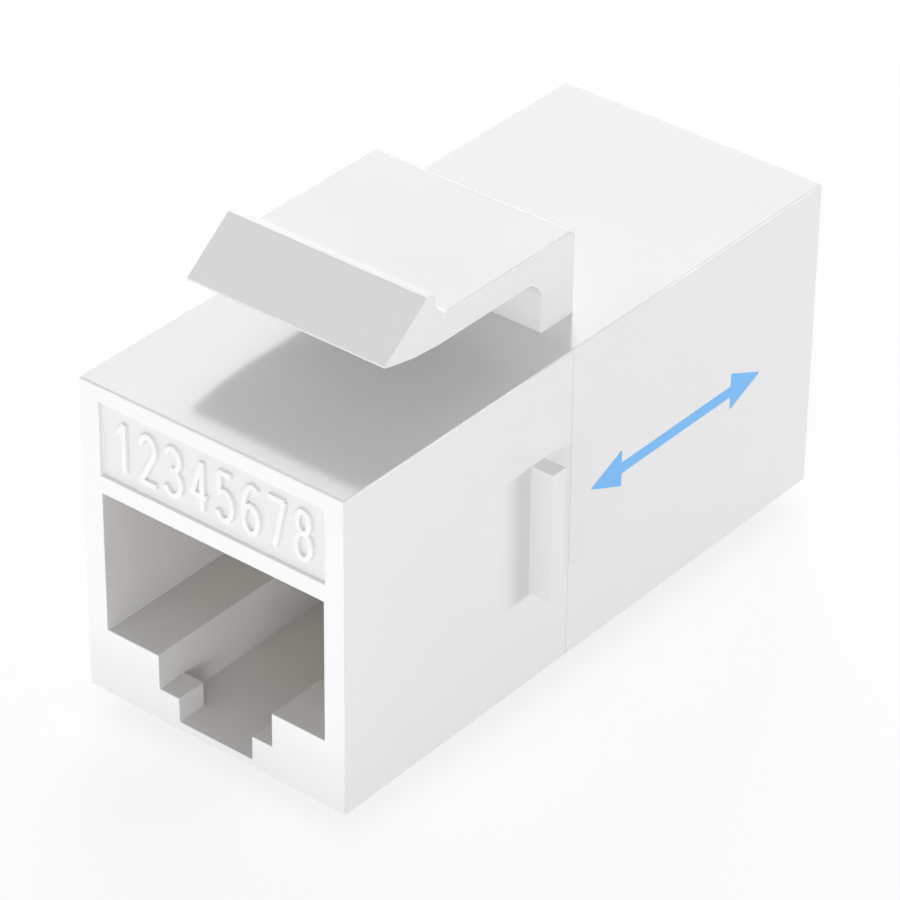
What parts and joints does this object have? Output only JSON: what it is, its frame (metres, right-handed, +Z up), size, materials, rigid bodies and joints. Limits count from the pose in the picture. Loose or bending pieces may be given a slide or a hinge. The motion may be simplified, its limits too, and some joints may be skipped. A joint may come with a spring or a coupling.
{
  "type": "rj45 inline coupler",
  "caption": "White keystone inline coupler with a stepped port in each end, a spring latch on top, side stop ribs and gold spring contacts on a circuit board.",
  "frame": {"origin": "centre of the footprint, at the height of the lowest point, which is the lug under the front half", "axes": "+Y from the front face, with the label recess, to the rear face; +Z up towards the spring latch; +X to the right seen from the front"},
  "size_m": [0.0168, 0.033, 0.0223],
  "materials": {
    "housing_plastic": "white moulded ABS, glossy",
    "carrier_plastic": "grey moulded insert",
    "board_laminate": "green solder mask on glass laminate",
    "contact_gold": "gold flash over phosphor bronze",
    "marking_ink": "light blue pad print"
  },
  "bodies": {
    "root": {"front_housing": "housing_plastic", "rear_housing": "housing_plastic", "front_contact_carrier": "carrier_plastic", "rear_contact_carrier": "carrier_plastic", "circuit_board": "board_laminate", "front_contact_1": "contact_gold", "front_contact_2": "contact_gold", "front_contact_3": "contact_gold", "front_contact_4": "contact_gold", "front_contact_5": "contact_gold", "front_contact_6": "contact_gold", "front_contact_7": "contact_gold", "front_contact_8": "contact_gold", "rear_contact_1": "contact_gold", "rear_contact_2": "contact_gold", "rear_contact_3": "contact_gold", "rear_contact_4": "contact_gold", "rear_contact_5": "contact_gold", "rear_contact_6": "contact_gold", "rear_contact_7": "contact_gold", "rear_contact_8": "contact_gold"}
  },
  "joints": []
}
